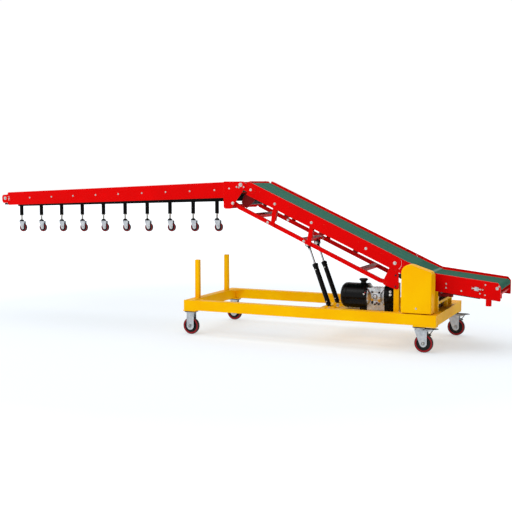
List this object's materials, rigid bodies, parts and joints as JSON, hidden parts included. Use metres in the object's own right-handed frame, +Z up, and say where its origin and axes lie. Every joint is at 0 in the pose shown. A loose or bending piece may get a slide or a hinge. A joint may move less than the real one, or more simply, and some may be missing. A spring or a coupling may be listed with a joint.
{
  "type": "truck loading conveyor",
  "caption": "Mobile truck loading belt conveyor: wheeled base frame, hydraulic incline section and long level boom with a row of hanging support casters.",
  "frame": {"origin": "middle of the overall box, on the floor under the wheels", "axes": "+X along the conveyor towards its feed end, +Y across it to the side away from the drive guard, +Z up"},
  "size_m": [6.451, 1.3, 1.7882],
  "materials": {
    "yellow_paint": "gloss",
    "red_paint": "gloss",
    "black_paint": "satin",
    "belt": "matt, fine grain",
    "zinc": "zinc plated",
    "chrome": "polished",
    "roller_steel": "turned",
    "wheel_red": "matt",
    "cast_block": "cast"
  },
  "bodies": {
    "base": {"base_frame": "yellow_paint", "stop_posts": "yellow_paint", "pivot_posts": "yellow_paint", "pivot_brackets": "red_paint", "drive_guard": "yellow_paint", "tail_plates": "red_paint", "tail_belt": "belt", "tail_rollers": "roller_steel", "gear_motor": "black_paint", "return_cover": "black_paint", "hydraulic_tank": "black_paint", "filler_cap": "black_paint", "pump_block": "cast_block", "pump_motor": "black_paint", "caster_plates": "zinc", "rigid_forks": "zinc"},
    "incline": {"incline_plates": "red_paint", "incline_belt": "belt", "incline_rollers": "roller_steel", "incline_bed": "black_paint"},
    "boom": {"boom_plates": "red_paint", "boom_gussets": "red_paint", "boom_belt": "belt", "boom_rollers": "roller_steel", "boom_bed": "black_paint", "boom_spine": "black_paint", "boom_legs": "black_paint"},
    "arms": {"lift_arms": "red_paint"},
    "upper_strut": {"upper_struts": "red_paint"},
    "lower_strut": {"lower_struts": "red_paint"},
    "barrel_near": {"lift_barrel_near": "black_paint"},
    "rod_near": {"lift_rod_near": "chrome"},
    "barrel_far": {"lift_barrel_far": "black_paint"},
    "rod_far": {"lift_rod_far": "chrome"},
    "swivel_near": {"swivel_fork_near": "black_paint"},
    "swivel_roll_near": {"swivel_wheel_near": "wheel_red"},
    "rigid_roll_near": {"rigid_wheel_near": "wheel_red"},
    "swivel_far": {"swivel_fork_far": "black_paint"},
    "swivel_roll_far": {"swivel_wheel_far": "wheel_red"},
    "rigid_roll_far": {"rigid_wheel_far": "wheel_red"},
    "leg_swivel_01": {"leg_fork_01": "zinc"},
    "leg_roll_01": {"leg_wheel_01": "wheel_red"},
    "leg_swivel_02": {"leg_fork_02": "zinc"},
    "leg_roll_02": {"leg_wheel_02": "wheel_red"},
    "leg_swivel_03": {"leg_fork_03": "zinc"},
    "leg_roll_03": {"leg_wheel_03": "wheel_red"},
    "leg_swivel_04": {"leg_fork_04": "zinc"},
    "leg_roll_04": {"leg_wheel_04": "wheel_red"},
    "leg_swivel_05": {"leg_fork_05": "zinc"},
    "leg_roll_05": {"leg_wheel_05": "wheel_red"},
    "leg_swivel_06": {"leg_fork_06": "zinc"},
    "leg_roll_06": {"leg_wheel_06": "wheel_red"},
    "leg_swivel_07": {"leg_fork_07": "zinc"},
    "leg_roll_07": {"leg_wheel_07": "wheel_red"},
    "leg_swivel_08": {"leg_fork_08": "zinc"},
    "leg_roll_08": {"leg_wheel_08": "wheel_red"},
    "leg_swivel_09": {"leg_fork_09": "zinc"},
    "leg_roll_09": {"leg_wheel_09": "wheel_red"},
    "leg_swivel_10": {"leg_fork_10": "zinc"},
    "leg_roll_10": {"leg_wheel_10": "wheel_red"}
  },
  "joints": [
    {"name": "lift", "type": "hinge", "parent": "base", "child": "incline", "pos_m": [2.09631, 0, 0.908], "axis": [0, 1, 0], "range_deg": [-12, 8]},
    {"name": "boom_level", "type": "hinge", "parent": "incline", "child": "boom", "pos_m": [0.25272, 0, 1.74817], "axis": [0, 1, 0], "range_deg": [-8, 12]},
    {"name": "arm_swing", "type": "hinge", "parent": "base", "child": "arms", "pos_m": [1.99631, 0, 0.694], "axis": [0, 1, 0], "range_deg": [-12, 8]},
    {"name": "upper_strut_turn", "type": "hinge", "parent": "arms", "child": "upper_strut", "pos_m": [0.5803, 0, 1.31733], "axis": [0, 1, 0], "range_deg": [-8, 12]},
    {"name": "lower_strut_turn", "type": "hinge", "parent": "arms", "child": "lower_strut", "pos_m": [1.02709, 0, 1.11372], "axis": [0, 1, 0], "range_deg": [-8, 12]},
    {"name": "barrel_tilt_near", "type": "hinge", "parent": "base", "child": "barrel_near", "pos_m": [1.28531, -0.15, 0.34], "axis": [0, 1, 0], "range_deg": [-11.3, 7.6]},
    {"name": "rod_stroke_near", "type": "slide", "parent": "barrel_near", "child": "rod_near", "axis": [-0.3486, 0, 0.9373], "range_m": [-0.167, 0.112]},
    {"name": "barrel_tilt_far", "type": "hinge", "parent": "base", "child": "barrel_far", "pos_m": [1.28531, 0.15, 0.34], "axis": [0, 1, 0], "range_deg": [-11.3, 7.6]},
    {"name": "rod_stroke_far", "type": "slide", "parent": "barrel_far", "child": "rod_far", "axis": [-0.3486, 0, 0.9373], "range_m": [-0.167, 0.112]},
    {"name": "swivel_turn_near", "type": "hinge", "parent": "base", "child": "swivel_near", "pos_m": [2.44031, -0.59, 0.2], "axis": [0, 0, 1], "continuous": true},
    {"name": "swivel_roll_near", "type": "hinge", "parent": "swivel_near", "child": "swivel_roll_near", "pos_m": [2.48531, -0.59, 0.1], "axis": [0, 1, 0], "continuous": true},
    {"name": "rigid_roll_near", "type": "hinge", "parent": "base", "child": "rigid_roll_near", "pos_m": [-0.27869, -0.59, 0.1], "axis": [0, 1, 0], "continuous": true},
    {"name": "swivel_turn_far", "type": "hinge", "parent": "base", "child": "swivel_far", "pos_m": [2.53431, 0.59, 0.2], "axis": [0, 0, 1], "continuous": true},
    {"name": "swivel_roll_far", "type": "hinge", "parent": "swivel_far", "child": "swivel_roll_far", "pos_m": [2.57931, 0.59, 0.1], "axis": [0, 1, 0], "continuous": true},
    {"name": "rigid_roll_far", "type": "hinge", "parent": "base", "child": "rigid_roll_far", "pos_m": [-0.27869, 0.59, 0.1], "axis": [0, 1, 0], "continuous": true},
    {"name": "leg_turn_01", "type": "hinge", "parent": "boom", "child": "leg_swivel_01", "pos_m": [-0.23469, 0, 1.331], "axis": [0, 0, 1], "continuous": true},
    {"name": "leg_roll_01", "type": "hinge", "parent": "leg_swivel_01", "child": "leg_roll_01", "pos_m": [-0.20969, 0, 1.231], "axis": [0, 1, 0], "continuous": true},
    {"name": "leg_turn_02", "type": "hinge", "parent": "boom", "child": "leg_swivel_02", "pos_m": [-0.56369, 0, 1.3229], "axis": [0, 0, 1], "continuous": true},
    {"name": "leg_roll_02", "type": "hinge", "parent": "leg_swivel_02", "child": "leg_roll_02", "pos_m": [-0.53869, 0, 1.2229], "axis": [0, 1, 0], "continuous": true},
    {"name": "leg_turn_03", "type": "hinge", "parent": "boom", "child": "leg_swivel_03", "pos_m": [-0.89269, 0, 1.3148], "axis": [0, 0, 1], "continuous": true},
    {"name": "leg_roll_03", "type": "hinge", "parent": "leg_swivel_03", "child": "leg_roll_03", "pos_m": [-0.86769, 0, 1.2148], "axis": [0, 1, 0], "continuous": true},
    {"name": "leg_turn_04", "type": "hinge", "parent": "boom", "child": "leg_swivel_04", "pos_m": [-1.22169, 0, 1.30671], "axis": [0, 0, 1], "continuous": true},
    {"name": "leg_roll_04", "type": "hinge", "parent": "leg_swivel_04", "child": "leg_roll_04", "pos_m": [-1.19669, 0, 1.20671], "axis": [0, 1, 0], "continuous": true},
    {"name": "leg_turn_05", "type": "hinge", "parent": "boom", "child": "leg_swivel_05", "pos_m": [-1.55069, 0, 1.29861], "axis": [0, 0, 1], "continuous": true},
    {"name": "leg_roll_05", "type": "hinge", "parent": "leg_swivel_05", "child": "leg_roll_05", "pos_m": [-1.52569, 0, 1.19861], "axis": [0, 1, 0], "continuous": true},
    {"name": "leg_turn_06", "type": "hinge", "parent": "boom", "child": "leg_swivel_06", "pos_m": [-1.87969, 0, 1.29051], "axis": [0, 0, 1], "continuous": true},
    {"name": "leg_roll_06", "type": "hinge", "parent": "leg_swivel_06", "child": "leg_roll_06", "pos_m": [-1.85469, 0, 1.19051], "axis": [0, 1, 0], "continuous": true},
    {"name": "leg_turn_07", "type": "hinge", "parent": "boom", "child": "leg_swivel_07", "pos_m": [-2.20869, 0, 1.28241], "axis": [0, 0, 1], "continuous": true},
    {"name": "leg_roll_07", "type": "hinge", "parent": "leg_swivel_07", "child": "leg_roll_07", "pos_m": [-2.18369, 0, 1.18241], "axis": [0, 1, 0], "continuous": true},
    {"name": "leg_turn_08", "type": "hinge", "parent": "boom", "child": "leg_swivel_08", "pos_m": [-2.53769, 0, 1.27431], "axis": [0, 0, 1], "continuous": true},
    {"name": "leg_roll_08", "type": "hinge", "parent": "leg_swivel_08", "child": "leg_roll_08", "pos_m": [-2.51269, 0, 1.17431], "axis": [0, 1, 0], "continuous": true},
    {"name": "leg_turn_09", "type": "hinge", "parent": "boom", "child": "leg_swivel_09", "pos_m": [-2.86669, 0, 1.26622], "axis": [0, 0, 1], "continuous": true},
    {"name": "leg_roll_09", "type": "hinge", "parent": "leg_swivel_09", "child": "leg_roll_09", "pos_m": [-2.84169, 0, 1.16622], "axis": [0, 1, 0], "continuous": true},
    {"name": "leg_turn_10", "type": "hinge", "parent": "boom", "child": "leg_swivel_10", "pos_m": [-3.19569, 0, 1.25812], "axis": [0, 0, 1], "continuous": true},
    {"name": "leg_roll_10", "type": "hinge", "parent": "leg_swivel_10", "child": "leg_roll_10", "pos_m": [-3.17069, 0, 1.15812], "axis": [0, 1, 0], "continuous": true}
  ],
  "couplings": [
    {"joint": "boom_level", "follows": "lift", "ratio": -1},
    {"joint": "arm_swing", "follows": "lift", "ratio": 1},
    {"joint": "upper_strut_turn", "follows": "lift", "ratio": -1},
    {"joint": "lower_strut_turn", "follows": "lift", "ratio": -1},
    {"joint": "barrel_tilt_near", "follows": "lift", "ratio": 0.921},
    {"joint": "rod_stroke_near", "follows": "lift", "m_per_rad": 0.7879},
    {"joint": "barrel_tilt_far", "follows": "lift", "ratio": 0.921},
    {"joint": "rod_stroke_far", "follows": "lift", "m_per_rad": 0.7879}
  ]
}
